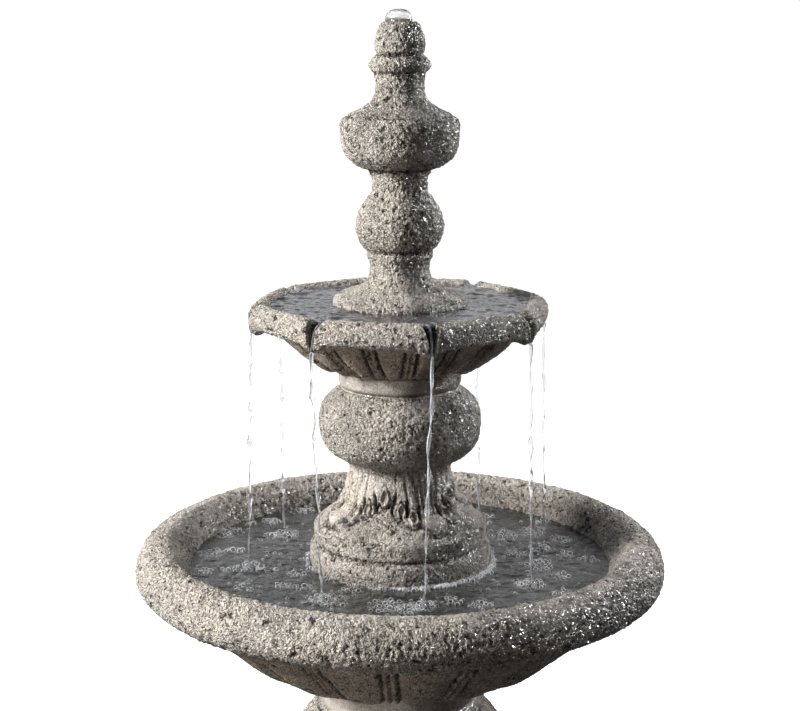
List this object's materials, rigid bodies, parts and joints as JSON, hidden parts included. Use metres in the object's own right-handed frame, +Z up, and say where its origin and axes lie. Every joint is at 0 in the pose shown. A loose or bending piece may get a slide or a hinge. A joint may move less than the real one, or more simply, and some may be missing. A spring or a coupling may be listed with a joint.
{
  "type": "tiered water fountain",
  "caption": "Round two-bowl garden fountain: cast-stone pedestal, wide lower basin, baluster column, notched octagonal upper bowl and turned spout finial, with a pump in the column foot.",
  "frame": {"origin": "on the ground, under the centre of the pedestal", "axes": "+Z up along the fountain's axis, front towards -Y, +X to its right"},
  "size_m": [0.69, 0.69, 1.3035],
  "materials": {
    "cast_stone": "coarse pitted cast stone, matte, damp in places",
    "black_rubber": "matte",
    "black_plastic": "fine moulded texture",
    "grey_plastic": "satin",
    "clear_tube": "translucent flexible tube",
    "brass": "dull, weathered",
    "stainless": "brushed",
    "ceramic": "polished",
    "ferrite": "matte sintered magnet",
    "water": "clear rippled water, in the looks only"
  },
  "bodies": {
    "base": {"base_pedestal": "cast_stone", "pedestal_gasket": "black_rubber", "lower_bowl": "cast_stone", "lower_bulkhead_fitting": "black_plastic", "lower_bulkhead_washer": "black_rubber", "lower_bulkhead_nut": "black_plastic", "cord_bung": "black_rubber", "riser_tube": "clear_tube", "hose_clamp": "stainless", "pump_outlet_adapter": "grey_plastic", "pump_volute": "black_plastic", "pump_motor_housing": "black_plastic", "pump_o_ring": "black_rubber", "pump_cord_gland": "black_rubber", "suction_cup_fl": "black_rubber", "suction_cup_fr": "black_rubber", "suction_cup_rl": "black_rubber", "suction_cup_rr": "black_rubber"},
    "column": {"column": "cast_stone", "column_gasket": "black_rubber", "upper_bowl": "cast_stone", "upper_bulkhead_fitting": "black_plastic", "upper_bulkhead_washer": "black_rubber", "upper_bulkhead_nut": "black_plastic"},
    "finial": {"finial": "cast_stone", "spout_nozzle": "brass"},
    "impeller": {"pump_impeller": "grey_plastic", "pump_shaft": "ceramic", "rotor_magnet": "ferrite"},
    "intake_cover": {"pump_intake_cover": "black_plastic"},
    "flow_dial": {"flow_dial": "grey_plastic"}
  },
  "joints": [
    {"name": "column_lift", "type": "slide", "parent": "base", "child": "column", "axis": [0, 0, 1], "range_m": [0, 0.3]},
    {"name": "finial_lift", "type": "slide", "parent": "column", "child": "finial", "axis": [0, 0, 1], "range_m": [0, 0.45]},
    {"name": "impeller_spin", "type": "hinge", "parent": "base", "child": "impeller", "pos_m": [0, 0.003, 0.516], "axis": [0, 1, 0], "continuous": true},
    {"name": "intake_cover_pull", "type": "slide", "parent": "base", "child": "intake_cover", "axis": [0, -1, 0], "range_m": [0, 0.025]},
    {"name": "flow_dial_turn", "type": "hinge", "parent": "intake_cover", "child": "flow_dial", "pos_m": [0, -0.0533, 0.516], "axis": [0, -1, 0], "range_deg": [0, 90]}
  ]
}
